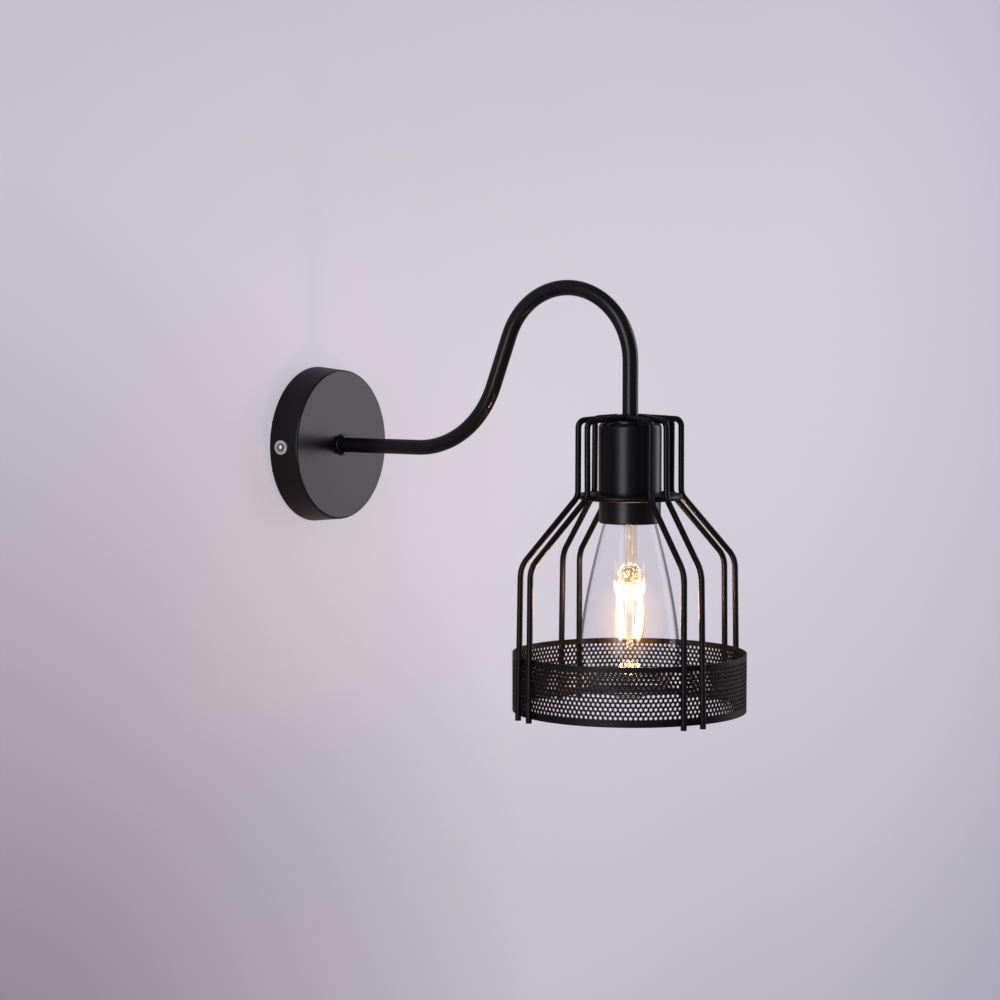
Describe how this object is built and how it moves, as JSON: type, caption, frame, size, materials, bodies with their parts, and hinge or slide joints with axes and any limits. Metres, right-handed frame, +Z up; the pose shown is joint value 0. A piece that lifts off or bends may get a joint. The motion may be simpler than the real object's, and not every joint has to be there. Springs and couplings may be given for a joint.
{
  "type": "cage wall light",
  "caption": "Black wall light: round wall cup, swan-neck tube, a bent-wire cage in paired wires with a perforated band, and a glowing pear-shaped filament bulb.",
  "frame": {"origin": "centre of the bracket's flat back, on the axis of the tube's root", "axes": "+Z up, -Y out of the wall, +X to the right when facing the wall"},
  "size_m": [0.1488, 0.3242, 0.2752],
  "materials": {
    "black_paint": "satin black paint",
    "chrome": "polished chrome",
    "zinc_steel": "bright zinc plate",
    "brass": "plain brass",
    "clear_glass": "clear blown glass",
    "ceramic": "glazed ceramic",
    "phenolic": "moulded black phenolic",
    "filament": "warm coated filament, lit",
    "solder_tin": "soldered tip",
    "dark_vitrite": "black glass insulator",
    "nickel_cap": "nickel-plated brass cap",
    "brown_sleeve": "insulated lead",
    "blue_sleeve": "insulated lead",
    "nickel_wire": "bare carrier wire"
  },
  "bodies": {
    "fixture": {"wall_cup": "black_paint", "wall_bracket": "zinc_steel", "side_washer_left": "chrome", "side_screw_left": "chrome", "side_washer_right": "chrome", "side_screw_right": "chrome", "earth_screw": "brass", "terminal_block": "ceramic", "pole_screw_live": "zinc_steel", "pole_screw_neutral": "zinc_steel", "flange_washer": "black_paint", "front_lock_nut": "black_paint", "inner_lock_washer": "zinc_steel", "inner_lock_nut": "zinc_steel", "wall_nipple": "zinc_steel", "arm_tube": "black_paint", "lead_live": "brown_sleeve", "lead_neutral": "blue_sleeve", "cage_hub": "black_paint", "lamp_nipple": "zinc_steel", "neck_ring": "black_paint", "perforated_band": "black_paint", "lamp_cup": "black_paint", "cup_clamp_nut": "zinc_steel", "holder_cap": "phenolic", "holder_body": "phenolic", "holder_skirt": "phenolic", "contact_base": "ceramic", "screw_shell": "brass", "centre_contact": "brass", "holder_screw_live": "brass", "holder_screw_neutral": "brass", "cage_wire_1": "black_paint", "cage_wire_2": "black_paint", "cage_wire_3": "black_paint", "cage_wire_4": "black_paint", "cage_wire_5": "black_paint", "cage_wire_6": "black_paint", "cage_wire_7": "black_paint", "cage_wire_8": "black_paint"},
    "bulb_carrier": {"bulb_tip_contact": "solder_tin", "bulb_insulator": "dark_vitrite"},
    "bulb": {"bulb_cap": "nickel_cap", "glass_envelope": "clear_glass", "glass_stem": "clear_glass", "filament_1": "filament", "filament_2": "filament", "filament_3": "filament", "filament_4": "filament", "filament_carrier_upper": "nickel_wire", "filament_carrier_lower": "nickel_wire"}
  },
  "joints": [
    {"name": "bulb_travel", "type": "slide", "parent": "fixture", "child": "bulb_carrier", "axis": [0, 0, -1], "range_m": [0, 0.02]},
    {"name": "bulb_turn", "type": "hinge", "parent": "bulb_carrier", "child": "bulb", "pos_m": [0, -0.24977, -0.02], "axis": [0, 0, -1], "range_deg": [0, 1980]}
  ],
  "couplings": [
    {"joint": "bulb_travel", "follows": "bulb_turn", "m_per_rad": 0.00057757}
  ]
}
